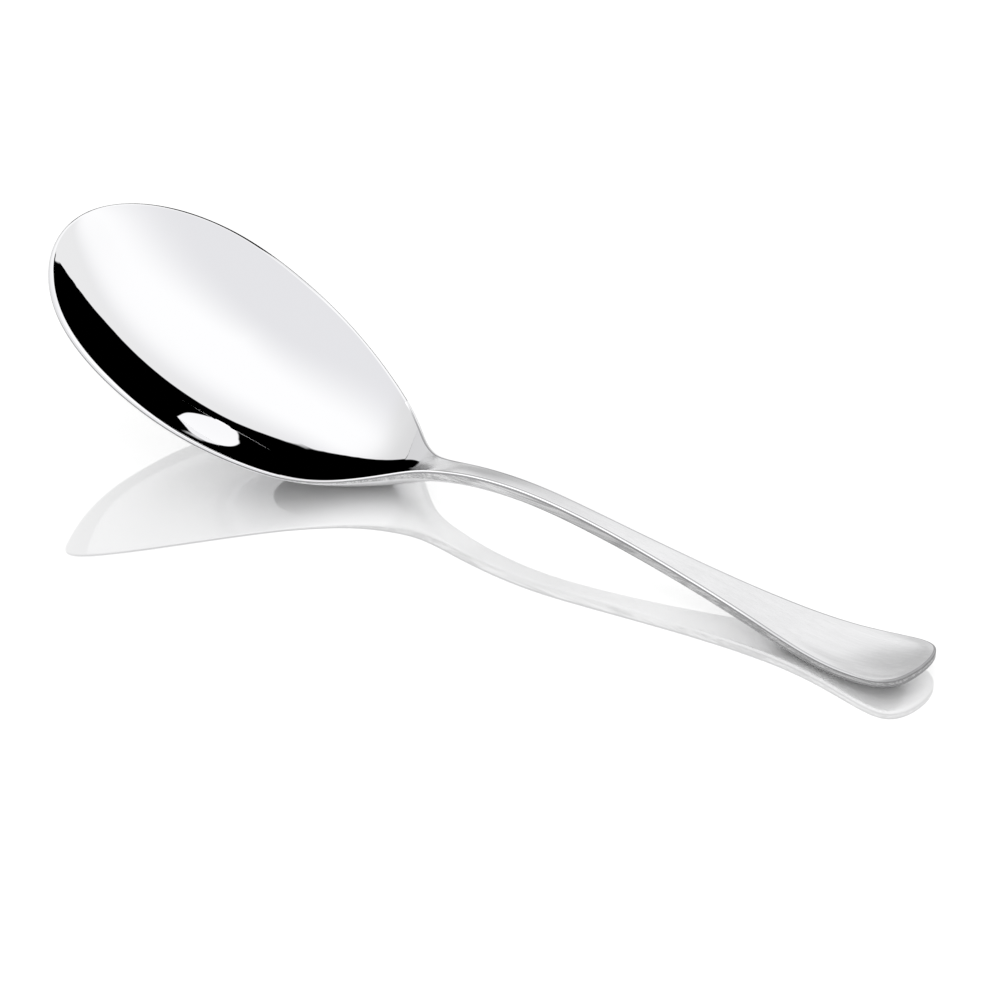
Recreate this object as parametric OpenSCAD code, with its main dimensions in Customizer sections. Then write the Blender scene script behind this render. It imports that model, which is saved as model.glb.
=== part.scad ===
// Serving spoon with a wide shallow bowl and a cranked handle.
// X runs along the spoon, from the bowl's tip to the handle's end, and Y across it.
// The spoon lies on the table, at Z 0, on two bellies: the bowl's and the handle's.
// The origin is on the table, halfway along the spoon.

/* [Bowl] */
// Length of the bowl, from its tip to the neck
bowl_l = 118; // [95:1:140]
// Greatest width of the bowl
bowl_w = 73; // [50:1:90]
// Height of the rim at the bowl's tip
tip_h = 44.7; // [35:0.1:55]
// Height of the rim at the bowl's heel, where it is lowest
heel_h = 6.8; // [5:0.1:9]
// Thickness of the metal in the middle of the bowl
bowl_t = 1.8; // [1:0.1:2.5]
// Thickness of the metal at the rim
rim_t = 0.9; // [0.6:0.1:1.5]

/* [Neck and shank] */
// Width of the neck, where the bowl meets the handle
neck_w = 6.7; // [5.5:0.1:9]
// Height of the neck's upper face
neck_h = 11; // [9:0.1:13]
// Width of the shank where it is slimmest
shank_w = 5.2; // [4:0.1:8]
// Thickness of the shank at its edges
shank_t = 2.9; // [2:0.1:3.5]
// How far the shank's face and its underside are crowned across
shank_crown_h = 0.2; // [0.1:0.05:0.4]
// Height of the upper face at the crest of the shank's arch
crest_h = 13; // [11:0.1:18]

/* [Handle] */
// Length of the handle, from the neck to its end
handle_l = 132; // [100:1:160]
// Greatest width of the handle, near its end
end_w = 22; // [14:0.1:30]
// Thickness of the metal near the handle's end
end_t = 2.4; // [1.6:0.1:3]
// How far the handle's face is dished near its end, and its underside bulges
dish_h = 1.25; // [0.5:0.05:2]
// Height of the upturned end's upper edge
end_h = 6; // [4.5:0.1:9]

/* [Hidden] */

// The share of an edge's thickness that its bevels take at the top and bottom
edge_bevel_share = 0.22;
// Fullness of the bowl's section: the power of its curve at the heel, and what the tip adds
heel_power = 2;
tip_power_extra = 1.4;
// Where along the bowl the tip's extra fullness has faded away
tip_power_place_share = 0.65;

// Slices for each stretch between two stations, and strips across the spoon
slices = 3;
strips = 14;
// The first slice stands this share of a stretch inside each round end
end_gap_share = 0.08;

overall_l = bowl_l + handle_l;
// The handle's upper edge where the handle lies on the table
low_h = end_t + dish_h;
// Thickness of the shank in the middle, and how far its underside reaches below its upper edges
crowned_t = shank_t + 2 * shank_crown_h;
shank_depth = shank_t + shank_crown_h;

function between(a, b, share) = a + (b - a) * share;

// A station is [place, half width, rim height, belly height, middle thickness, edge thickness].
// Bowl from the tip to the belly that lies on the table, as shares of
// [bowl_l, half of bowl_w, heel_h to tip_h, tip belly height, rim_t to bowl_t]
bowl_shares = [
    [0, 0, 1, 1, 0],
    [0.025, 0.383, 0.956, 0.893, 0.8],
    [0.093, 0.7, 0.843, 0.648, 1],
    [0.195, 0.914, 0.68, 0.419, 1],
    [0.33, 1, 0.476, 0.225, 1],
    [0.483, 0.962, 0.267, 0.099, 1],
    [0.627, 0.816, 0.102, 0.033, 1],
    [0.746, 0.61, 0.006, 0, 1]
];
bowl_stations = [for (s = bowl_shares) [
    bowl_l * s[0],
    bowl_w / 2 * s[1],
    between(heel_h, tip_h, s[2]),
    (tip_h - rim_t) * s[3],
    between(rim_t, bowl_t, s[4]),
    rim_t
]];

// Heel to neck, as shares of
// [bowl_l, half of neck_w to half of bowl_w, heel_h to neck_h, neck belly height,
//  bowl_t to crowned_t, rim_t to shank_t]
neck_shares = [
    [0.83, 0.321, 0, 0.107, 0.25, 0.15],
    [0.89, 0.141, 0.31, 0.358, 0.7, 0.45],
    [0.94, 0.037, 0.645, 0.652, 0.95, 0.8],
    [1, 0, 1, 1, 1, 1]
];
neck_stations = [for (s = neck_shares) [
    bowl_l * s[0],
    between(neck_w, bowl_w, s[1]) / 2,
    between(heel_h, neck_h, s[2]),
    (neck_h - shank_depth) * s[3],
    between(bowl_t, crowned_t, s[4]),
    between(rim_t, shank_t, s[5])
]];

// Neck to the crest of the arch, as shares of
// [handle_l, shank_w to neck_w, neck_h to crest_h]
arch_shares = [
    [0.076, 0.35, 0.76],
    [0.197, 0, 1]
];
arch_stations = [for (s = arch_shares)
    let (height = between(neck_h, crest_h, s[2])) [
    bowl_l + handle_l * s[0],
    between(shank_w, neck_w, s[1]) / 2,
    height,
    height - shank_depth,
    crowned_t,
    shank_t
]];

// Down from the crest to the stretch that lies on the table, as shares of
// [handle_l, shank_w to end_w, low_h to crest_h, shank_t to end_t, dish_h, shank_crown_h]
flare_shares = [
    [0.348, 0.014, 0.804, 0, 0, 1],
    [0.5, 0.139, 0.524, 0.2, 0.05, 0.8],
    [0.644, 0.357, 0.233, 0.5, 0.25, 0.4],
    [0.758, 0.625, 0.04, 0.8, 0.65, 0.1],
    [0.848, 0.865, 0, 1, 1, 0]
];
flare_stations = [for (s = flare_shares)
    let (
        height = between(low_h, crest_h, s[2]),
        thickness = between(shank_t, end_t, s[3]),
        crown = shank_crown_h * s[5]
    ) [
    bowl_l + handle_l * s[0],
    between(shank_w, end_w, s[1]) / 2,
    height,
    height - thickness - dish_h * s[4] - crown,
    thickness + 2 * crown,
    thickness
]];

// The upturned round end, as shares of
// [handle_l, half of end_w, low_h to end_h, dish_h]
end_shares = [
    [0.924, 1, 0.387, 0.95],
    [0.981, 0.824, 0.81, 0.5],
    [1, 0, 1, 0]
];
end_stations = [for (s = end_shares)
    let (height = between(low_h, end_h, s[2])) [
    bowl_l + handle_l * s[0],
    end_w / 2 * s[1],
    height,
    height - end_t - dish_h * s[3],
    end_t,
    end_t
]];

stations = concat(bowl_stations, neck_stations, arch_stations, flare_stations, end_stations);
neck_at = len(bowl_stations) + len(neck_stations) - 1;
end_at = len(stations) - 1;

// The curve is carried on past both round ends by its mirror image, so that it closes there
// without a corner: the same places and heights come back with the half widths turned over.
carry = 3;
function turned(s) = [s[0], -s[1], s[2], s[3], s[4], s[5]];
knots = concat(
    [for (i = [carry:-1:1]) turned(stations[i])],
    stations,
    [for (i = [1:carry]) turned(stations[end_at - i])]
);

// Bend of a smooth curve at each knot: forward sweep, then back from the last knot
flat = [for (v = knots[0]) 0];
last_knot = len(knots) - 1;
sweep = [
    for (
        i = 0, hold = 0, pull = flat;
        i < last_knot;
        i = i + 1,
        pull = (6 * (knots[min(i + 1, last_knot)] - 2 * knots[i] + knots[i - 1]) - pull) / (4 - hold),
        hold = 1 / (4 - hold)
    ) [hold, pull]
];
bends_backwards = [
    for (
        i = last_knot, bend = flat;
        i >= 0;
        i = i - 1,
        bend = i > 0 ? sweep[i][1] - sweep[i][0] * bend : flat
    ) bend
];
function bend_at(i) = bends_backwards[last_knot - i];

// The station at t, counted along the list of stations, on the smooth curve through them
function station_at(t) =
    let (
        i = min(floor(t), end_at - 1) + carry,
        b = t + carry - i,
        a = 1 - b
    )
    a * knots[i] + b * knots[i + 1]
    + ((pow(a, 3) - a) * bend_at(i) + (pow(b, 3) - b) * bend_at(i + 1)) / 6;

// Power of the section's curve across the spoon, at a place along it
function section_power(place) =
    heel_power + tip_power_extra * pow(max(0, 1 - place / (bowl_l * tip_power_place_share)), 2);

// Outline of the metal across the spoon at t: along the underside, then back over the face
function section_at(t) =
    let (
        s = station_at(t),
        x = s[0] - overall_l / 2,
        half_w = s[1],
        rim = s[2],
        belly = s[3],
        middle_t = s[4],
        edge_t = s[5],
        bevel = edge_t * edge_bevel_share,
        power = section_power(s[0]),
        ys = [for (i = [0:strips]) (half_w - bevel) * sin(90 * (2 * i / strips - 1))],
        rise = function (y) pow(abs(y) / half_w, power),
        under = function (y) max(0, between(belly, rim - edge_t, rise(y))),
        face = function (y) between(belly + middle_t, rim, rise(y))
    )
    concat(
        [for (y = ys) [x, y, under(y)]],
        [[x, half_w, rim - edge_t + bevel], [x, half_w, rim - bevel]],
        [for (i = [strips:-1:0]) [x, ys[i], face(ys[i])]],
        [[x, -half_w, rim - bevel], [x, -half_w, rim - edge_t + bevel]]
    );

// Closed solid through the sections at the given places
module swept(places) {
    rings = [for (t = places) section_at(t)];
    n = len(rings[0]);
    last = len(rings) - 1;
    sides = [
        for (j = [0:last - 1])
            for (i = [0:n - 1])
                let (a = j * n + i, b = j * n + (i + 1) % n)
                    each [[a, a + n, b], [b, a + n, b + n]]
    ];
    polyhedron(
        points = [for (ring = rings) each ring],
        faces = concat(
            [[for (i = [0:n - 1]) i]],
            sides,
            [[for (i = [n - 1:-1:0]) last * n + i]]
        )
    );
}

// Pressed bowl with its thinned rim, up to the neck
module bowl() {
    color("gainsboro")
        swept([for (i = [0:slices * neck_at]) max(end_gap_share, i / slices)]);
}

// Arched shank and spatulate handle, from the neck to the upturned end
module handle() {
    color("silver")
        swept([for (i = [slices * neck_at:slices * end_at]) min(i / slices, end_at - end_gap_share)]);
}

bowl();
handle();
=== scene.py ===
"""Looks of the serving spoon: smooth mirror bowl and satin handle on a glossy white floor."""

import bpy
import numpy as np
from mathutils import Matrix, Vector


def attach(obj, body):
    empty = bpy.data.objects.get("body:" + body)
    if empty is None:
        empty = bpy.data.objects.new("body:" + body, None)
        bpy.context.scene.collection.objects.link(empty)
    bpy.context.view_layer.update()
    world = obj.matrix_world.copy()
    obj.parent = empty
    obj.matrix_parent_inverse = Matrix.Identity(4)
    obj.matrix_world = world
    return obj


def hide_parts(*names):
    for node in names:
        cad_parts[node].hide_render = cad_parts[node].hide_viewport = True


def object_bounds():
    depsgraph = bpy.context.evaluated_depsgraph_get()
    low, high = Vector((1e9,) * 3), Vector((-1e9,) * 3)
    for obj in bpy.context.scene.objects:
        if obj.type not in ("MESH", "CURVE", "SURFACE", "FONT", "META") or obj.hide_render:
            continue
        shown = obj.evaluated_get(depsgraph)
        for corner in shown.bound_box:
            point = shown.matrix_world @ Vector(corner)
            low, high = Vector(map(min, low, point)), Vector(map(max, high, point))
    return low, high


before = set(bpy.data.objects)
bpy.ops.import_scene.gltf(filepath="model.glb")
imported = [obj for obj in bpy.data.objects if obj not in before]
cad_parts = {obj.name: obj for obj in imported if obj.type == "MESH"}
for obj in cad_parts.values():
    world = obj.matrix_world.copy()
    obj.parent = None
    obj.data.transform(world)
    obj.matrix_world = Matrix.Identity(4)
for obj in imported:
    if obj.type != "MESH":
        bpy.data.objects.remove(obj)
cad_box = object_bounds()

# Sizes of the spoon, in millimetres, as in the CAD source
BOWL_L = 118.0
BOWL_W = 73.0
TIP_H = 44.7
HEEL_H = 6.8
BOWL_T = 1.8
RIM_T = 0.9
NECK_W = 6.7
NECK_H = 11.0
SHANK_W = 5.2
SHANK_T = 2.9
SHANK_CROWN_H = 0.2
CREST_H = 13.0
HANDLE_L = 132.0
END_W = 22.0
END_T = 2.4
DISH_H = 1.25
END_H = 6.0
HEEL_POWER = 2.0
TIP_POWER_EXTRA = 1.4
TIP_POWER_PLACE = 0.65

# Sections, as shares of those sizes
BOWL_SHARES = [
    (0, 0, 1, 1, 0),
    (0.025, 0.383, 0.956, 0.893, 0.8),
    (0.093, 0.7, 0.843, 0.648, 1),
    (0.195, 0.914, 0.68, 0.419, 1),
    (0.33, 1, 0.476, 0.225, 1),
    (0.483, 0.962, 0.267, 0.099, 1),
    (0.627, 0.816, 0.102, 0.033, 1),
    (0.746, 0.61, 0.006, 0, 1),
]
NECK_SHARES = [
    (0.83, 0.321, 0, 0.107, 0.25, 0.15),
    (0.89, 0.141, 0.31, 0.358, 0.7, 0.45),
    (0.94, 0.037, 0.645, 0.652, 0.95, 0.8),
    (1, 0, 1, 1, 1, 1),
]
ARCH_SHARES = [(0.076, 0.35, 0.76), (0.197, 0, 1)]
FLARE_SHARES = [
    (0.348, 0.014, 0.804, 0, 0, 1),
    (0.5, 0.139, 0.524, 0.2, 0.05, 0.8),
    (0.644, 0.357, 0.233, 0.5, 0.25, 0.4),
    (0.758, 0.625, 0.04, 0.8, 0.65, 0.1),
    (0.848, 0.865, 0, 1, 1, 0),
]
END_SHARES = [(0.924, 1, 0.387, 0.95), (0.981, 0.824, 0.81, 0.5), (1, 0, 1, 0)]

# Upper edge, in millimetres: place, radius, width of its flat top, how far the face is set in,
# and the slope by which the flat top falls outward
ROUNDING = [
    (0.0, 0.55, 0.0, 0.80, 0.0),
    (10.0, 0.50, 0.60, 1.35, 0.02),
    (16.0, 0.50, 0.60, 1.35, 0.10),
    (40.0, 0.50, 0.60, 1.35, 0.10),
    (50.0, 0.52, 0.33, 1.10, 0.0),
    (60.0, 0.55, 0.05, 0.85, 0.0),
    (90.0, 0.50, 0.0, 0.75, 0.0),
    (106.0, 0.45, 0.0, 0.60, 0.0),
    (125.0, 0.40, 0.0, 0.50, 0.0),
    (205.0, 0.40, 0.0, 0.50, 0.0),
    (225.0, 0.32, 0.0, 0.42, 0.0),
    (250.0, 0.30, 0.0, 0.40, 0.0),
]
# The face meets the rounding this far inside its top line
RUN_IN = 0.2
# The face rolls off near the handle's edge: place and depth
ROLL = [(165.0, 0.0), (188.0, 0.2), (208.0, 0.15), (240.0, 0.5)]
ROLL_W = 3.0
LOWER_SHARE = 0.22

# Mesh fineness: rows between two sections, strips across, and steps round each corner
ROWS_PER_STATION = 16
FACE_STRIPS = 44
EDGE_STEPS = 5
LOWER_STEPS = 4
SIDE_STEPS = 2

# Fineness of the curve that places are looked up on, and of the outline taken from it
CURVE_STEPS = 30000
OUTLINE_EVERY = 6
# Step along the sections over which the outline's direction is taken
DIRECTION_STEP = 1e-4
# Points that agree to this many decimals of a millimetre are one point
MERGE_DECIMALS = 5
# Least half width and least length of a normal, so that nothing is divided by zero
LEAST_WIDTH = 1e-6
LEAST_NORMAL = 1e-12

MM = 0.001
OVERALL_L = BOWL_L + HANDLE_L
LOW_H = END_T + DISH_H


def between(a, b, share):
    return a + (b - a) * share


def stations():
    """Rows of place, half width, rim height, belly height, middle thickness and edge thickness."""
    crowned = SHANK_T + 2 * SHANK_CROWN_H
    depth = SHANK_T + SHANK_CROWN_H
    rows = []
    for s in BOWL_SHARES:
        rows.append((BOWL_L * s[0], BOWL_W / 2 * s[1], between(HEEL_H, TIP_H, s[2]),
                     (TIP_H - RIM_T) * s[3], between(RIM_T, BOWL_T, s[4]), RIM_T))
    for s in NECK_SHARES:
        rows.append((BOWL_L * s[0], between(NECK_W, BOWL_W, s[1]) / 2, between(HEEL_H, NECK_H, s[2]),
                     (NECK_H - depth) * s[3], between(BOWL_T, crowned, s[4]),
                     between(RIM_T, SHANK_T, s[5])))
    for s in ARCH_SHARES:
        height = between(NECK_H, CREST_H, s[2])
        rows.append((BOWL_L + HANDLE_L * s[0], between(SHANK_W, NECK_W, s[1]) / 2, height,
                     height - depth, crowned, SHANK_T))
    for s in FLARE_SHARES:
        height = between(LOW_H, CREST_H, s[2])
        thickness = between(SHANK_T, END_T, s[3])
        crown = SHANK_CROWN_H * s[5]
        rows.append((BOWL_L + HANDLE_L * s[0], between(SHANK_W, END_W, s[1]) / 2, height,
                     height - thickness - DISH_H * s[4] - crown, thickness + 2 * crown, thickness))
    for s in END_SHARES:
        height = between(LOW_H, END_H, s[2])
        rows.append((BOWL_L + HANDLE_L * s[0], END_W / 2 * s[1], height,
                     height - END_T - DISH_H * s[3], END_T, END_T))
    return np.array(rows, float)


STATIONS = stations()
LAST = len(STATIONS) - 1
NECK_AT = len(BOWL_SHARES) + len(NECK_SHARES) - 1
# The curve is carried on past both ends by this many mirrored sections
CARRY = 3


def spline():
    """Knots carried past both ends as mirror images, and their second differences."""
    flip = np.array([1, -1, 1, 1, 1, 1.0])
    before = STATIONS[CARRY:0:-1] * flip
    after = STATIONS[-2:-2 - CARRY:-1] * flip
    knots = np.vstack([before, STATIONS, after])
    count = len(knots)
    matrix = np.eye(count)
    bends = np.zeros_like(knots)
    for i in range(1, count - 1):
        matrix[i, i - 1:i + 2] = (1, 4, 1)
        bends[i] = 6 * (knots[i + 1] - 2 * knots[i] + knots[i - 1])
    return knots, np.linalg.solve(matrix, bends)


KNOTS, BENDS = spline()


def sections(t):
    """Section values at the stations t, whole numbers being the named sections."""
    t = np.asarray(t, float)[:, None]
    i = np.clip(np.floor(t), 0, LAST - 1).astype(int) + CARRY
    b = t + CARRY - i
    a = 1 - b
    i = i[:, 0]
    return (a * KNOTS[i] + b * KNOTS[i + 1]
            + ((a ** 3 - a) * BENDS[i] + (b ** 3 - b) * BENDS[i + 1]) / 6)


FINE = sections(np.linspace(0, LAST, CURVE_STEPS + 1))
OUTLINE = FINE[::OUTLINE_EVERY, :2]


def along(x, column):
    """One value of the sections at the places x."""
    return np.interp(x, FINE[:, 0], FINE[:, column])


def rise(x, y):
    """How far the metal has risen at y, as a share of the rise from the middle to the rim."""
    power = HEEL_POWER + TIP_POWER_EXTRA * np.maximum(0, 1 - x / (BOWL_L * TIP_POWER_PLACE)) ** 2
    return np.clip(np.abs(y) / np.maximum(along(x, 1), LEAST_WIDTH), 0, 1) ** power


def face_height(x, y):
    """Height of the upper face."""
    low = along(x, 3) + along(x, 4)
    return low + (along(x, 2) - low) * rise(x, y)


def under_height(x, y):
    """Height of the underside, which stays above the table."""
    low = along(x, 3)
    return np.maximum(0, low + (along(x, 2) - along(x, 5) - low) * rise(x, y))


def roll_off(x, y):
    """How far the face is rolled down near the edge of the handle."""
    drop = np.zeros_like(x)
    start = ROLL[0][0]
    near = x > start
    rim = OUTLINE[OUTLINE[:, 0] > start - 2 * ROLL_W]
    if near.any():
        gap = np.hypot(x[near, None] - rim[:, 0], np.abs(y[near, None]) - rim[:, 1]).min(axis=1)
        depth = np.interp(x[near], *np.transpose(ROLL))
        drop[near] = depth * np.maximum(0, 1 - gap / ROLL_W) ** 2
    return drop


def bend(a, corner, b, steps):
    """Points after a on the rounded corner from a to b."""
    points = []
    for k in range(1, steps + 1):
        u = k / steps
        points.append((1 - u) ** 2 * a + 2 * u * (1 - u) * corner + u * u * b)
    return points


def rings(t):
    """One closed ring of points for each t: underside, right edge, face, left edge."""
    here = sections(t)
    ahead = sections(np.minimum(t + DIRECTION_STEP, LAST))
    behind = sections(np.maximum(t - DIRECTION_STEP, 0))
    dx = ahead[:, 0] - behind[:, 0]
    dw = ahead[:, 1] - behind[:, 1]
    dx[t <= 0] = 0
    dx[t >= LAST] = 0
    length = np.hypot(dx, dw)
    table = np.array(ROUNDING)
    radius, flat, set_in, slope = (
        np.interp(here[:, 0], table[:, 0], table[:, column]) for column in range(1, 5))
    lower = LOWER_SHARE * here[:, 5]
    top = here[:, 2] - roll_off(here[:, 0], here[:, 1])
    foot = here[:, 2] - here[:, 5]
    shares = np.sin(np.pi / 2 * np.linspace(-1, 1, FACE_STRIPS + 1))

    def point(x, y, z):
        return np.stack([x, y, z], axis=1)

    def inside(gap):
        """Place and half width of the outline moved in by gap."""
        return here[:, 0] + gap * dw / length, np.maximum(here[:, 1] - gap * dx / length, 0)

    x_under, w_under = inside(lower)
    x_face, w_face = inside(set_in + RUN_IN)
    x_high, w_high = inside(RUN_IN)
    under = [point(x_under, s * w_under, under_height(x_under, s * w_under)) for s in shares]
    face = [
        point(x_face, s * w_face, face_height(x_high, s * w_high) - roll_off(x_face, s * w_face))
        for s in shares]

    def edge(side):
        """From the underside up to the face, on one side."""
        y = side * here[:, 1]
        low = under[-1] if side > 0 else under[0]
        high = face[-1] if side > 0 else face[0]
        side_low = point(here[:, 0], y, foot + lower)
        side_high = point(here[:, 0], y, top - radius)
        x_crown, w_crown = inside(radius)
        x_shelf, w_shelf = inside(radius + flat)
        x_inner, w_inner = inside(set_in)
        crown = point(x_crown, side * w_crown, top - slope * flat)
        shelf = point(x_shelf, side * w_shelf, top)
        inner = point(x_inner, side * w_inner, top)
        points = bend(low, point(here[:, 0], y, foot), side_low, LOWER_STEPS)
        for k in range(1, SIDE_STEPS + 1):
            points.append(between(side_low, side_high, k / SIDE_STEPS))
        corner = point(here[:, 0], y, top - slope * (flat + radius))
        points += bend(side_high, corner, crown, EDGE_STEPS)
        points.append(shelf)
        points += bend(shelf, inner, high, EDGE_STEPS)
        return points

    right = edge(1)
    left = edge(-1)
    ring = under + right + face[-2::-1] + left[-2::-1]
    return np.stack(ring, axis=1)


def edge_marks():
    """For each point of a ring: 0 on the face, 1 to 2 over the rounded edge, to 3 down the side
    and 4 on the underside."""
    side = np.linspace(3, 2, SIDE_STEPS + 1)
    over = np.linspace(2, 1, 2 * EDGE_STEPS + 2)
    up = np.concatenate([side, over[1:]])
    underside = np.full(FACE_STRIPS + LOWER_STEPS, 4.0)
    face = np.zeros(FACE_STRIPS - 1)
    return np.concatenate([underside, up, face, up[::-1], np.full(LOWER_STEPS - 1, 4.0)])


def row_places(first, last):
    """Places of the mesh rows between two sections."""
    return np.linspace(first, last, int(round((last - first) * ROWS_PER_STATION)) + 1)


def grid_normals(points):
    """Smooth normals of the whole spoon, so that its two pieces meet without a seam."""
    following = np.roll(points, -1, axis=1)
    diagonal = following[1:] - points[:-1]
    other = points[1:] - following[:-1]
    areas = np.cross(diagonal, other)
    total = np.zeros_like(points)
    total[:-1] += areas
    total[1:] += areas
    total[:-1] += np.roll(areas, 1, axis=1)
    total[1:] += np.roll(areas, 1, axis=1)
    flat = points.reshape(-1, 3)
    _, place = np.unique(np.round(flat, MERGE_DECIMALS), axis=0, return_inverse=True)
    place = place.ravel()
    sums = np.zeros((place.max() + 1, 3))
    np.add.at(sums, place, total.reshape(-1, 3))
    sums /= np.maximum(np.linalg.norm(sums, axis=1, keepdims=True), LEAST_NORMAL)
    return sums[place].reshape(points.shape)


def make_piece(name, points, normals, marks, cap_row, cap_direction):
    """A closed mesh from rows of rings, with a flat cap on the row where the pieces meet."""
    rows, columns = points.shape[:2]
    rounded = np.round(points.reshape(-1, 3), MERGE_DECIMALS)
    flat, first, place = np.unique(rounded, axis=0, return_index=True, return_inverse=True)
    place = place.reshape(rows, columns)
    vertex_normals = normals.reshape(-1, 3)[first]
    vertex_marks = np.tile(marks, rows)[first]
    faces = []
    for i in range(rows - 1):
        for j in range(columns):
            k = (j + 1) % columns
            corners = []
            for v in (place[i, j], place[i, k], place[i + 1, k], place[i + 1, j]):
                if v not in corners:
                    corners.append(int(v))
            if len(corners) > 2:
                faces.append(corners)
    cap_points = points[cap_row]
    start = len(flat)
    order = list(range(start, start + columns))
    faces.append(order if cap_direction > 0 else order[::-1])
    vertices = np.vstack([flat, cap_points]) * MM
    cap_normals = np.tile((float(cap_direction), 0.0, 0.0), (columns, 1))
    vertex_normals = np.vstack([vertex_normals, cap_normals])
    mesh = bpy.data.meshes.new(name)
    mesh.from_pydata(vertices.tolist(), [], faces)
    mesh.polygons.foreach_set("use_smooth", [True] * len(mesh.polygons))
    mesh.update()
    mesh.normals_split_custom_set_from_vertices(vertex_normals.tolist())
    layer = mesh.attributes.new("edge", "FLOAT", "POINT")
    layer.data.foreach_set("value", np.append(vertex_marks, np.zeros(columns)))
    piece = bpy.data.objects.new(name, mesh)
    bpy.context.scene.collection.objects.link(piece)
    return piece


# The spoon's surface, moved so that its middle is at the origin, and kept inside the CAD box
places = np.concatenate([row_places(0, NECK_AT), row_places(NECK_AT, LAST)[1:]])
surface = rings(places)
surface[..., 0] -= OVERALL_L / 2
for axis in range(3):
    low, high = cad_box[0][axis] / MM, cad_box[1][axis] / MM
    reach_low, reach_high = surface[..., axis].min(), surface[..., axis].max()
    shrink = min(1.0, high / reach_high, low / reach_low if low < 0 else 1.0)
    surface[..., axis] *= shrink
surface_normals = grid_normals(surface)
neck_row = NECK_AT * ROWS_PER_STATION

marks = edge_marks()
bowl = make_piece(
    "bowl_polished", surface[:neck_row + 1], surface_normals[:neck_row + 1], marks, -1, 1)
handle = make_piece(
    "handle_satin", surface[neck_row:], surface_normals[neck_row:], marks, 0, -1)


# Detail of the noise, the same wherever it is used
NOISE_DETAIL = 3.0
NOISE_ROUGHNESS = 0.5


class Nodes:
    """Short calls for building a node tree."""

    def __init__(self, tree):
        self.tree = tree
        tree.nodes.clear()

    def add(self, kind, **settings):
        node = self.tree.nodes.new(kind)
        for key, value in settings.items():
            setattr(node, key, value)
        return node

    def put(self, value, socket):
        """Links an output to the socket, or sets the socket to a plain value."""
        if isinstance(value, bpy.types.NodeSocket):
            self.tree.links.new(value, socket)
        else:
            socket.default_value = value

    def math(self, operation, *values, clamp=False):
        node = self.add("ShaderNodeMath", operation=operation, use_clamp=clamp)
        for value, socket in zip(values, node.inputs):
            self.put(value, socket)
        return node.outputs[0]

    def product(self, *factors):
        """All the factors multiplied together."""
        result = factors[0]
        for factor in factors[1:]:
            result = self.math("MULTIPLY", result, factor)
        return result

    def smooth(self, value, low, high, start=0.0, end=1.0):
        """A smooth step of value from start at low to end at high."""
        node = self.add("ShaderNodeMapRange", interpolation_type="SMOOTHSTEP")
        for number, socket in zip((value, low, high, start, end), node.inputs):
            self.put(number, socket)
        return node.outputs[0]

    def mix(self, share, a, b):
        """Colour a where share is 0 and colour b where it is 1."""
        node = self.add("ShaderNodeMix", data_type="RGBA")
        colours = [s for s in node.inputs if s.type == "RGBA"]
        self.put(share, node.inputs[0])
        self.put(a, colours[0])
        self.put(b, colours[1])
        return [s for s in node.outputs if s.type == "RGBA"][0]

    def noise(self, vector, scale):
        node = self.add("ShaderNodeTexNoise")
        self.put(vector, node.inputs["Vector"])
        node.inputs["Scale"].default_value = scale
        node.inputs["Detail"].default_value = NOISE_DETAIL
        node.inputs["Roughness"].default_value = NOISE_ROUGHNESS
        return node.outputs["Fac"]

    def stretched(self, vector, scales):
        node = self.add("ShaderNodeMapping")
        self.put(vector, node.inputs["Vector"])
        node.inputs["Scale"].default_value = scales
        return node.outputs["Vector"]


def grey(value, blue=0.0):
    """A grey, with so much more blue in it."""
    return (value, value, value + blue, 1.0)


BLACK = grey(0.0)
WHITE = grey(1.0)


def metal(name):
    """An empty metal material: its node helper, shader and object coordinates."""
    material = bpy.data.materials.new(name)
    material.use_nodes = True
    n = Nodes(material.node_tree)
    shader = n.add("ShaderNodeBsdfPrincipled")
    shader.inputs["Metallic"].default_value = 1.0
    output = n.add("ShaderNodeOutputMaterial")
    n.put(shader.outputs[0], output.inputs["Surface"])
    spots = n.add("ShaderNodeTexCoord").outputs["Object"]
    return material, n, shader, spots


def band(n, value, low, high, soft):
    """1 where value lies between low and high, and falling to 0 over the width soft."""
    rising = n.smooth(value, low - soft, low)
    falling = n.smooth(value, high, high + soft, 1.0, 0.0)
    return n.math("MULTIPLY", rising, falling)


# Satin streaks: how fine they are along and across the spoon, and what each kind adds
FINE_STREAKS = (60.0, 5000.0, 5000.0)
SOFT_STREAKS = (25.0, 900.0, 900.0)
FINE_SHARE = 0.6
SOFT_SHARE = 0.4
# Clouds over them, and what the streaks and the clouds add to the tint
CLOUD_SCALE = 60.0
STREAK_TINT = 0.7
CLOUD_TINT = 0.3
# Range of tint or cloud over which a tone goes from its dark to its light value
FACE_CONTRAST = (0.38, 0.62)
SIDE_CONTRAST = (0.42, 0.58)
END_EDGE_SHADE_CONTRAST = (0.35, 0.65)

# Bands across the spoon, by the mesh's edge marks: from, to, and how wide their soft borders are
EDGE_BAND = (0.9, 2.1, 0.05)
SIDE_BAND = (2.1, 3.3, 0.1)
# Painted shade: this band darkens the bowl's rim down its side and foot
FOOT_SHADE_BAND = (2.2, 3.6, 0.2)
# Painted reflection: the next four bands mark thin dark lines along the rounded edge
INNER_REFLECTION_LINE = (0.95, 1.33, 0.06)
OUTER_REFLECTION_LINE = (1.95, 2.12, 0.05)
SLIM_INNER_REFLECTION_LINE = (1.33, 1.42, 0.03)
SLIM_OUTER_REFLECTION_LINE = (1.84, 1.95, 0.03)
# Painted shade: a dark line along the foot of the handle's side
FOOT_SHADE_LINE = (2.85, 3.15, 0.1)
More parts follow.
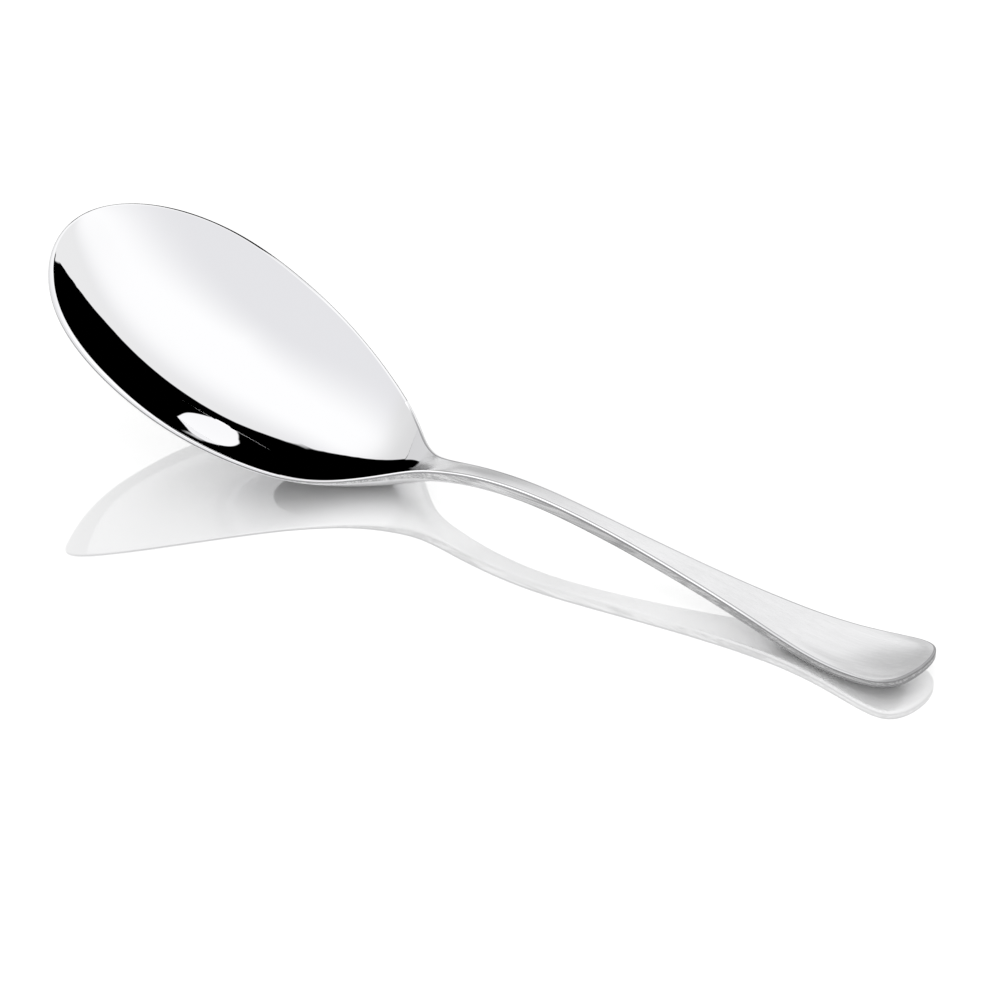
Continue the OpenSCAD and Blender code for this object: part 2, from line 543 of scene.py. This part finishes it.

# Places along the spoon, in metres from its middle, over which the finish and painted shade change:
# satin starts on the face and on the edges, painted shade on the arch starts and ends, the slim
# bright edge with its painted dark reflection lines ends and painted shade dims the edge past it,
# the painted shade line at the foot starts, and painted shade darkens the edge more before the
# handle's round end
SATIN_ON_FACE = (-0.0214, -0.0200)
SATIN_ON_EDGE = (-0.0420, -0.0360)
ARCH_SHADE_START = (-0.010, 0.005)
ARCH_SHADE_END = (0.05, 0.02)
SLIM_END = (0.07, 0.09)
FOOT_SHADE_LINE_START = (0.06, 0.10)
END_EDGE_SHADE_START = (0.1110, 0.1170)

# Tones: the darkest and lightest streaks, the edge past its slim part (darker, painted shade) and in
# it, and the painted lines
FACE_TONES = (grey(0.815, 0.008), grey(0.88, 0.008))
# Painted shade: the face darker on the arch
ARCH_SHADE_TONES = (grey(0.71, 0.008), grey(0.77, 0.008))
SIDE_TONES = (grey(0.55, 0.006), grey(0.95, 0.006))
# Painted shade: the edge darker before the handle's round end, mottled by the clouds
END_EDGE_SHADE_TONES = (grey(0.36, 0.006), grey(0.54, 0.006))
# Painted shade: the edge darker past its slim part than in it
EDGE_TONES_WITH_SHADE = (grey(0.62, 0.01), grey(0.90, 0.01))
# Painted reflection: thin dark lines along the rounded edge
REFLECTION_LINE_TONE = grey(0.45, 0.01)
# Painted shade: the dark line along the foot
FOOT_SHADE_LINE_TONE = grey(0.50, 0.01)
POLISHED_TONE = grey(0.90, 0.01)
# Painted shade: the bowl's rim darker down its side and foot
POLISHED_FOOT_SHADE_TONE = grey(0.58, 0.01)
# Painted reflection: a dark line on the outer part of the bowl's rounded rim
POLISHED_REFLECTION_LINE_TONE = grey(0.25, 0.01)

# Roughness: the satin's least, what its streaks add, and the bright edge's
SATIN_ROUGH = 0.16
STREAK_ROUGH = 0.12
EDGE_ROUGH = 0.06
BUMP_DEPTH = 0.00001
BUMP_STRENGTH = 0.25


def brushed(n, spots):
    """Fine streaks along the spoon."""
    fine = n.noise(n.stretched(spots, FINE_STREAKS), 1.0)
    soft = n.noise(n.stretched(spots, SOFT_STREAKS), 1.0)
    return n.math("MULTIPLY_ADD", fine, FINE_SHARE, n.math("MULTIPLY", soft, SOFT_SHARE))


def steel(name):
    """Mirror polish on the bowl, lengthwise satin on the handle, and bright rounded edges, with
    painted shade and painted dark reflection lines in the colour.
    """
    material, n, shader, spots = metal(name)
    place = n.add("ShaderNodeSeparateXYZ")
    n.put(spots, place.inputs[0])
    x = place.outputs["X"]
    mark = n.add("ShaderNodeAttribute", attribute_name="edge").outputs["Fac"]
    edge = band(n, mark, *EDGE_BAND)
    side = band(n, mark, *SIDE_BAND)
    # Painted shade on the bowl's rim, down its side and foot
    foot = band(n, mark, *FOOT_SHADE_BAND)
    # Painted reflection: masks of the thin dark lines along the rounded edge
    outer_reflection_line = band(n, mark, *OUTER_REFLECTION_LINE)
    reflection_lines = n.math("MAXIMUM", band(n, mark, *INNER_REFLECTION_LINE), outer_reflection_line)
    slim = n.smooth(x, *SLIM_END, 1.0, 0.0)
    slim_reflection_lines = n.math(
        "MAXIMUM", band(n, mark, *SLIM_INNER_REFLECTION_LINE), band(n, mark, *SLIM_OUTER_REFLECTION_LINE))
    reflection_lines = n.math("MAXIMUM", reflection_lines, n.math("MULTIPLY", slim, slim_reflection_lines))
    # Painted shade: a dark line along the foot, from the middle of the handle on
    foot_shade_line = n.math("MULTIPLY", band(n, mark, *FOOT_SHADE_LINE), n.smooth(x, *FOOT_SHADE_LINE_START))
    # Painted shade on the edge before the handle's round end
    end_edge_shade = n.math("MULTIPLY", edge, n.smooth(x, *END_EDGE_SHADE_START))
    # Painted shade on the arch's face
    arch_shade = n.math("MULTIPLY", n.smooth(x, *ARCH_SHADE_START), n.smooth(x, *ARCH_SHADE_END))
    satin = n.mix(n.math("MAXIMUM", edge, side), n.smooth(x, *SATIN_ON_FACE),
                  n.smooth(x, *SATIN_ON_EDGE))

    # Tone: finely streaked, with painted reflection as a thin dark line on both sides of the rounded
    # edge, and painted shade on the arch, the foot and parts of the edge
    streaks = brushed(n, spots)
    cloud = n.noise(spots, CLOUD_SCALE)
    tint = n.math("MULTIPLY_ADD", streaks, STREAK_TINT, n.math("MULTIPLY", cloud, CLOUD_TINT))
    streaked = n.smooth(tint, *FACE_CONTRAST)
    # Painted shade darkens the face on the arch
    face_tone = n.mix(arch_shade, n.mix(streaked, *FACE_TONES), n.mix(streaked, *ARCH_SHADE_TONES))
    side_tone = n.mix(n.smooth(tint, *SIDE_CONTRAST), *SIDE_TONES)
    satin_tone = n.mix(side, face_tone, side_tone)
    # Painted shade dims the edge past its slim part
    satin_tone = n.mix(edge, satin_tone, n.mix(slim, *EDGE_TONES_WITH_SHADE))
    # Painted reflection: thin dark lines along the rounded edge
    satin_tone = n.mix(reflection_lines, satin_tone, REFLECTION_LINE_TONE)
    # Painted shade: a dark line along the foot
    satin_tone = n.mix(foot_shade_line, satin_tone, FOOT_SHADE_LINE_TONE)
    # Painted shade darkens the edge before the round end, mottled by the clouds
    satin_tone = n.mix(end_edge_shade, satin_tone, n.mix(n.smooth(cloud, *END_EDGE_SHADE_CONTRAST), *END_EDGE_SHADE_TONES))
    # Painted shade on the bowl's rim, down its side and foot
    polished_tone = n.mix(foot, POLISHED_TONE, POLISHED_FOOT_SHADE_TONE)
    # Painted reflection: a dark line on the outer part of the bowl's rim
    polished_tone = n.mix(outer_reflection_line, polished_tone, POLISHED_REFLECTION_LINE_TONE)
    n.put(n.mix(satin, polished_tone, satin_tone), shader.inputs["Base Color"])

    satin_rough = n.math("MULTIPLY_ADD", streaks, STREAK_ROUGH, SATIN_ROUGH)
    smoothed = n.math("MULTIPLY", edge, n.math("SUBTRACT", satin_rough, EDGE_ROUGH))
    roughness = n.math("MULTIPLY", satin, n.math("SUBTRACT", satin_rough, smoothed))
    n.put(roughness, shader.inputs["Roughness"])
    bump = n.add("ShaderNodeBump")
    bump.inputs["Distance"].default_value = BUMP_DEPTH
    bump.inputs["Strength"].default_value = BUMP_STRENGTH
    n.put(n.math("MULTIPLY", streaks, satin), bump.inputs["Height"])
    n.put(bump.outputs[0], shader.inputs["Normal"])
    return material


bowl.data.materials.append(steel("mirror_steel"))
handle.data.materials.append(steel("satin_steel"))
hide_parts("bowl")
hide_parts("handle")
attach(bowl, "root")
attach(handle, "root")

# Floor: white and glossy, so it shows a mirror image of the spoon
FLOOR_HALF = 3.0
FLOOR_DROP = 0.00004
VEIL_RISE = 0.00002
FLOOR_WHITE = 1.32
FLOOR_ROUGH = 0.03
# What the camera sees the floor give off besides
FLOOR_LIFT = 0.10
# Share of gloss: seen from above, its rise toward a grazing view, and its most
GLOSS_LEAST = 0.05
GLOSS_RISE = 1.36
GLOSS_MOST = 0.80
GRAZING_BLEND = 0.5
# The floor in the metal's first reflection, by places along the spoon: painted shade whose tone goes
# from one value to another and is raised by painted light in the middle of the handle, and a faint
# painted glow
MIRRORED_SHADE_PLACES = (-0.010, 0.025)
MIRRORED_SHADE_TONES = (0.74, 0.0)
MIDDLE_START = (0.04, 0.06)
MIDDLE_END = (0.10, 0.08)
MIDDLE_PAINTED_LIGHT = 0.20
PAINTED_GLOW_PLACES = (0.06, 0.11)
PAINTED_GLOW_STRENGTHS = (0.25, 0.12)
# Its share of white after more reflections
DEEP_SHARE = 0.88

# Limits of the counts by which a ray is told: past its first and its second reflection, and
# past the clear sheet over the floor
PAST_FIRST = 1.5
PAST_SECOND = 2.5
PAST_VEIL = 0.5


def floor_material():
    """White acrylic, with painted shade and a painted glow where the metal mirrors it once."""
    material = bpy.data.materials.new("glossy_white_floor")
    material.use_nodes = True
    n = Nodes(material.node_tree)
    path = n.add("ShaderNodeLightPath")
    place = n.add("ShaderNodeSeparateXYZ")
    n.put(n.add("ShaderNodeTexCoord").outputs["Object"], place.inputs[0])
    x = place.outputs["X"]
    deep = n.math("GREATER_THAN", path.outputs["Glossy Depth"], PAST_FIRST)
    once = n.math("SUBTRACT", path.outputs["Is Glossy Ray"], deep)
    # Painted shade on the floor where the metal mirrors it once, raised by painted light in the
    # middle of the handle
    middle = n.math("MULTIPLY", n.smooth(x, *MIDDLE_START), n.smooth(x, *MIDDLE_END))
    mirrored_shade = n.smooth(x, *MIRRORED_SHADE_PLACES, *MIRRORED_SHADE_TONES)
    mirrored_shade = n.math("MULTIPLY_ADD", middle, MIDDLE_PAINTED_LIGHT, mirrored_shade)
    tone = n.mix(deep, grey(FLOOR_WHITE), grey(FLOOR_WHITE * DEEP_SHARE))
    tone = n.mix(once, tone, n.mix(mirrored_shade, BLACK, WHITE))
    matt = n.add("ShaderNodeBsdfDiffuse")
    n.put(tone, matt.inputs["Color"])
    seen = n.math("MAXIMUM", path.outputs["Is Camera Ray"], path.outputs["Is Transmission Ray"])
    # Painted glow of the floor in the metal's first reflection
    painted_glow = n.math("MULTIPLY", once, n.smooth(x, *PAINTED_GLOW_PLACES, *PAINTED_GLOW_STRENGTHS))
    lift = n.add("ShaderNodeEmission")
    n.put(n.math("MULTIPLY_ADD", seen, FLOOR_LIFT, painted_glow), lift.inputs["Strength"])
    white = n.add("ShaderNodeAddShader")
    n.put(matt.outputs[0], white.inputs[0])
    n.put(lift.outputs[0], white.inputs[1])
    gloss = n.add("ShaderNodeBsdfGlossy")
    gloss.inputs["Color"].default_value = WHITE
    gloss.inputs["Roughness"].default_value = FLOOR_ROUGH
    grazing = n.add("ShaderNodeLayerWeight")
    grazing.inputs["Blend"].default_value = GRAZING_BLEND
    share = n.math("MULTIPLY_ADD", grazing.outputs["Facing"], GLOSS_RISE, GLOSS_LEAST)
    both = n.add("ShaderNodeMixShader")
    n.put(n.math("MINIMUM", share, GLOSS_MOST), both.inputs[0])
    n.put(white.outputs[0], both.inputs[1])
    n.put(gloss.outputs[0], both.inputs[2])
    output = n.add("ShaderNodeOutputMaterial")
    n.put(both.outputs[0], output.inputs["Surface"])
    return material


floor_mesh = bpy.data.meshes.new("floor")
floor_mesh.from_pydata(
    [(-FLOOR_HALF, -FLOOR_HALF, -FLOOR_DROP), (FLOOR_HALF, -FLOOR_HALF, -FLOOR_DROP),
     (FLOOR_HALF, FLOOR_HALF, -FLOOR_DROP), (-FLOOR_HALF, FLOOR_HALF, -FLOOR_DROP)],
    [], [(0, 1, 2, 3)])
floor = bpy.data.objects.new("floor", floor_mesh)
bpy.context.scene.collection.objects.link(floor)
floor_mesh.materials.append(floor_material())

# Clear sheet just over the floor: the studio tells by it which rays come from the floor
veil_mesh = floor_mesh.copy()
veil_mesh.transform(Matrix.Translation((0, 0, VEIL_RISE)))
veil_mesh.materials.clear()
veil = bpy.data.objects.new("veil", veil_mesh)
bpy.context.scene.collection.objects.link(veil)
veil_material = bpy.data.materials.new("clear_veil")
veil_material.use_nodes = True
veil_nodes = Nodes(veil_material.node_tree)
clear = veil_nodes.add("ShaderNodeBsdfTransparent")
veil_output = veil_nodes.add("ShaderNodeOutputMaterial")
veil_nodes.put(clear.outputs[0], veil_output.inputs["Surface"])
veil_mesh.materials.append(veil_material)

# Studio: a white room, with the shades that a polished bowl mirrors
# Directions are laid out flat: straight up is 0, 0 and the horizon is a circle of radius 1
LEAST_ACROSS = 1e-4
# Broad light: the height and slope of its lower border, how wide that border is and how much
# wider to the right, then its upper border with its slope, and its left border
LIGHT_LOW = -0.058
LIGHT_LOW_SLOPE = -0.282
LIGHT_LOW_WIDTH = 0.274
LIGHT_LOW_WIDER = 1.036
LIGHT_TOP = (0.428, 0.635)
LIGHT_TOP_SLOPE = -0.088
LIGHT_LEFT = (-0.614, -0.28)
LIGHT_TONE = grey(1.10)
# Patches laid one over another: tone, and borders as axis, where it is 0 and where it is whole
PALE_BASE = grey(0.770)
PALE_PATCHES = [
    (grey(0.819), [("x", -0.75, -0.50)]),
    (grey(0.866, 0.018), [("x", -0.45, -0.30)]),
    (grey(0.909), [("y", 0.40, 0.70)]),
]
# Broad soft light for the satin, darker from the bowl's end and low behind
SOFT_BASE = grey(0.84)
SOFT_PATCHES = [
    (grey(1.0), [("x", -0.62, -0.40)]),
    (grey(0.56), [("x", -0.36, -0.50), ("x", -0.70, -0.60), ("y", 0.38, 0.55)]),
    (grey(0.88), [("x", -0.20, 0.0)]),
    (grey(1.4), [("y", -0.75, -0.60), ("y", 0.34, 0.26), ("x", -0.60, -0.45), ("x", -0.15, -0.30)]),
    (grey(0.75), [("y", 0.68, 0.76)]),
]
SOFT_DEEP = grey(1.05)
# Grey low and left sides of the dark room that later reflections show
LOW_SIDE_SLOPE = 0.7
LOW_SIDE_Y = (-0.218, -0.230)
LOW_SIDE_X = (-0.25, -0.35)
LEFT_SIDE_X = (-0.576, -0.584)
LEFT_SIDE_Y = (0.37, 0.35)
LOW_SIDE_TONE = grey(0.79)
# What the floor sees in later reflections
FLOOR_DEEP = grey(0.72)
# The border of the dark side, along and across a line turned by DARK_TURN degrees, how soft it
# is, and the slanted border that ends it
DARK_TURN = 35.0
DARK_SOFT = (-0.004, 0.004)
DARK_TIP = (0.892, 0.884)
DARK_TIP_SLOPE = 0.34
DARK_EDGE = [(-0.40, 0.775), (-0.317, 0.727), (-0.186, 0.653), (-0.112, 0.617), (-0.052, 0.592),
             (-0.012, 0.589), (0.012, 0.597), (0.031, 0.612), (0.043, 0.632), (0.049, 0.653),
             (0.055, 0.666), (0.065, 0.676), (0.085, 0.687), (0.108, 0.691), (0.132, 0.687),
             (0.168, 0.674), (0.223, 0.645), (0.268, 0.618), (0.318, 0.590), (0.372, 0.562),
             (0.431, 0.540), (0.473, 0.533), (0.517, 0.536), (0.557, 0.542), (0.597, 0.551),
             (0.614, 0.561), (0.621, 0.578), (0.625, 0.600), (0.631, 0.619), (0.639, 0.638),
             (0.648, 0.655), (0.652, 0.69), (0.66, 1.0)]
# One long light seen after one, two and three reflections: centre, half sizes, turn in degrees,
# bend and taper
LONG_LIGHT = [
    (-0.333, 0.689, 0.013, 0.007, 0.0, 0.0, 0.0),
    (-0.135, 0.454, 0.0587, 0.336, 25.4, -0.134, 0.153),
    (0.0616, 0.2009, 0.1657, 0.0856, -32.76, -0.4557, -0.4899),
]
LONG_LIGHT_TONE = grey(1.15)
# Its upper end after two reflections, and the soft border of an oval, where 1 is its outline
LONG_LIGHT_TOP = (0.63, 0.615)
OVAL_BORDER = (1.05, 0.95)


def oval(n, px, py, sizes):
    """1 inside an oval and 0 outside it."""
    middle_x, middle_y, half_a, half_b, turned, bent, taper = sizes
    cos, sin = np.cos(np.radians(turned)), np.sin(np.radians(turned))
    from_x = n.math("SUBTRACT", px, middle_x)
    from_y = n.math("SUBTRACT", py, middle_y)
    a = n.math("MULTIPLY_ADD", from_x, cos / half_a, n.math("MULTIPLY", from_y, sin / half_a))
    b = n.math("MULTIPLY_ADD", from_y, cos / half_b, n.math("MULTIPLY", from_x, -sin / half_b))
    b_squared = n.math("MULTIPLY", b, b)
    a = n.math("MULTIPLY_ADD", b_squared, -bent, a)
    a = n.math("MULTIPLY", a, n.math("MULTIPLY_ADD", b, taper, 1.0))
    return n.smooth(n.math("MULTIPLY_ADD", a, a, b_squared), *OVAL_BORDER)


def patched(n, px, py, tone, patches):
    """The tone, with every patch laid over it in turn."""
    axes = {"x": px, "y": py}
    for patch_tone, borders in patches:
        shares = [n.smooth(axes[axis], low, high) for axis, low, high in borders]
        tone = n.mix(n.product(*shares), tone, patch_tone)
    return tone


def dark_side(n, px, py):
    """1 on the dark side, beyond the border that DARK_EDGE draws."""
    cos, sin = np.cos(np.radians(DARK_TURN)), np.sin(np.radians(DARK_TURN))
    along_line = n.math("MULTIPLY_ADD", px, cos, n.math("MULTIPLY", py, sin))
    from_line = n.math("MULTIPLY_ADD", py, cos, n.math("MULTIPLY", px, -sin))
    start, end = DARK_EDGE[0][0], DARK_EDGE[-1][0]
    curve = n.add("ShaderNodeFloatCurve")
    line = curve.mapping.curves[0]
    for number, (a, b) in enumerate(DARK_EDGE):
        spot = ((a - start) / (end - start), b)
        if number == 0:
            line.points[0].location = spot
        elif number == len(DARK_EDGE) - 1:
            line.points[-1].location = spot
        else:
            line.points.new(*spot)
    for point in line.points:
        point.handle_type = "VECTOR"
    curve.mapping.update()
    share = n.math("DIVIDE", n.math("SUBTRACT", along_line, start), end - start, clamp=True)
    n.put(share, curve.inputs["Value"])
    dark = n.smooth(n.math("SUBTRACT", from_line, curve.outputs[0]), *DARK_SOFT)
    tip = n.math("MULTIPLY_ADD", from_line, DARK_TIP_SLOPE, along_line)
    return n.math("MULTIPLY", dark, n.smooth(tip, *DARK_TIP))


def studio():
    """The room, which only reflected rays see: all others see plain white."""
    world = bpy.data.worlds.new("studio")
    bpy.context.scene.world = world
    world.use_nodes = True
    n = Nodes(world.node_tree)
    way = n.add("ShaderNodeSeparateXYZ")
    n.put(n.add("ShaderNodeTexCoord").outputs["Generated"], way.inputs[0])
    x, y, z = way.outputs[0], way.outputs[1], way.outputs[2]
    across = n.math("SQRT", n.math("ADD", n.math("MULTIPLY", x, x), n.math("MULTIPLY", y, y)))
    turn = n.math("DIVIDE", n.math("ARCCOSINE", z), np.pi / 2)
    reach = n.math("DIVIDE", turn, n.math("MAXIMUM", across, LEAST_ACROSS))
    px = n.math("MULTIPLY", x, reach)
    py = n.math("MULTIPLY", y, reach)

    # What the polished bowl mirrors once: a broad white light, pale greys round it, a dark side
    low_start = n.math("MULTIPLY_ADD", px, LIGHT_LOW_SLOPE, LIGHT_LOW)
    to_right = n.math("MAXIMUM", px, 0.0)
    low_width = n.math("MULTIPLY_ADD", to_right, LIGHT_LOW_WIDER, LIGHT_LOW_WIDTH)
    low_end = n.math("ADD", low_start, low_width)
    tilted = n.math("MULTIPLY_ADD", px, LIGHT_TOP_SLOPE, py)
    light = n.product(n.smooth(py, low_start, low_end), n.smooth(tilted, *LIGHT_TOP, 1.0, 0.0),
                      n.smooth(px, *LIGHT_LEFT))
    sharp_once = n.mix(light, patched(n, px, py, PALE_BASE, PALE_PATCHES), LIGHT_TONE)
    sharp_once = n.mix(dark_side(n, px, py), sharp_once, BLACK)
    sharp_once = n.mix(oval(n, px, py, LONG_LIGHT[0]), sharp_once, LONG_LIGHT_TONE)

    # What it mirrors through more faces: dark, with one long light and a grey low side
    slant = n.math("MULTIPLY_ADD", px, LOW_SIDE_SLOPE, py)
    low_side = n.math("MULTIPLY", n.smooth(slant, *LOW_SIDE_Y), n.smooth(px, *LOW_SIDE_X))
    left_side = n.math("MULTIPLY", n.smooth(px, *LEFT_SIDE_X), n.smooth(py, *LEFT_SIDE_Y))
    dim = n.mix(n.math("MAXIMUM", low_side, left_side), BLACK, LOW_SIDE_TONE)
    second_light = n.math(
        "MULTIPLY", oval(n, px, py, LONG_LIGHT[1]), n.smooth(py, *LONG_LIGHT_TOP))
    sharp_twice = n.mix(second_light, dim, LONG_LIGHT_TONE)
    sharp_thrice = n.mix(oval(n, px, py, LONG_LIGHT[2]), dim, LONG_LIGHT_TONE)

    # Which of these a ray sees
    path = n.add("ShaderNodeLightPath")
    deep = n.math("GREATER_THAN", path.outputs["Glossy Depth"], PAST_FIRST)
    deeper = n.math("GREATER_THAN", path.outputs["Glossy Depth"], PAST_SECOND)
    sharp = path.outputs["Is Singular Ray"]
    seen_once = n.mix(sharp, patched(n, px, py, SOFT_BASE, SOFT_PATCHES), sharp_once)
    seen_later = n.mix(sharp, SOFT_DEEP, n.mix(deeper, sharp_twice, sharp_thrice))
    metal_sees = n.mix(deep, seen_once, seen_later)
    floor_sees = n.mix(deep, WHITE, FLOOR_DEEP)
    by_floor = n.math("GREATER_THAN", path.outputs["Transparent Depth"], PAST_VEIL)
    room = n.mix(by_floor, metal_sees, floor_sees)
    colour = n.mix(path.outputs["Is Glossy Ray"], WHITE, room)
    background = n.add("ShaderNodeBackground")
    n.put(colour, background.inputs["Color"])
    output = n.add("ShaderNodeOutputWorld")
    n.put(background.outputs[0], output.inputs["Surface"])
    world.cycles.sampling_method = "NONE"


studio()

# Camera, placed as the photograph's
CAMERA_TURN = 37.375
CAMERA_RISE = 29.179
CAMERA_ROLL = 0.30
CAMERA_DISTANCE = 0.8704
CAMERA_TARGET = Vector((-0.0004, 0.00964, 0.0))
CAMERA_FOCAL = 3.5999
SENSOR = 36.0
CAMERA_NEAR = 0.01

turn, lift, roll = (np.radians(v) for v in (CAMERA_TURN, CAMERA_RISE, CAMERA_ROLL))
back = Vector((np.sin(turn) * np.cos(lift), -np.cos(turn) * np.cos(lift), np.sin(lift)))
level = Vector((np.cos(turn), np.sin(turn), 0.0))
upward = back.cross(level)
right = level * np.cos(roll) + upward * np.sin(roll)
up = upward * np.cos(roll) - level * np.sin(roll)
camera_data = bpy.data.cameras.new("camera")
camera_data.sensor_width = SENSOR
camera_data.lens = CAMERA_FOCAL * SENSOR
camera_data.clip_start = CAMERA_NEAR
camera = bpy.data.objects.new("camera", camera_data)
bpy.context.scene.collection.objects.link(camera)
turned = Matrix((right, up, back)).transposed().to_4x4()
camera.matrix_world = Matrix.Translation(CAMERA_TARGET + back * CAMERA_DISTANCE) @ turned
bpy.context.scene.camera = camera
bpy.context.scene.view_settings.view_transform = "Standard"
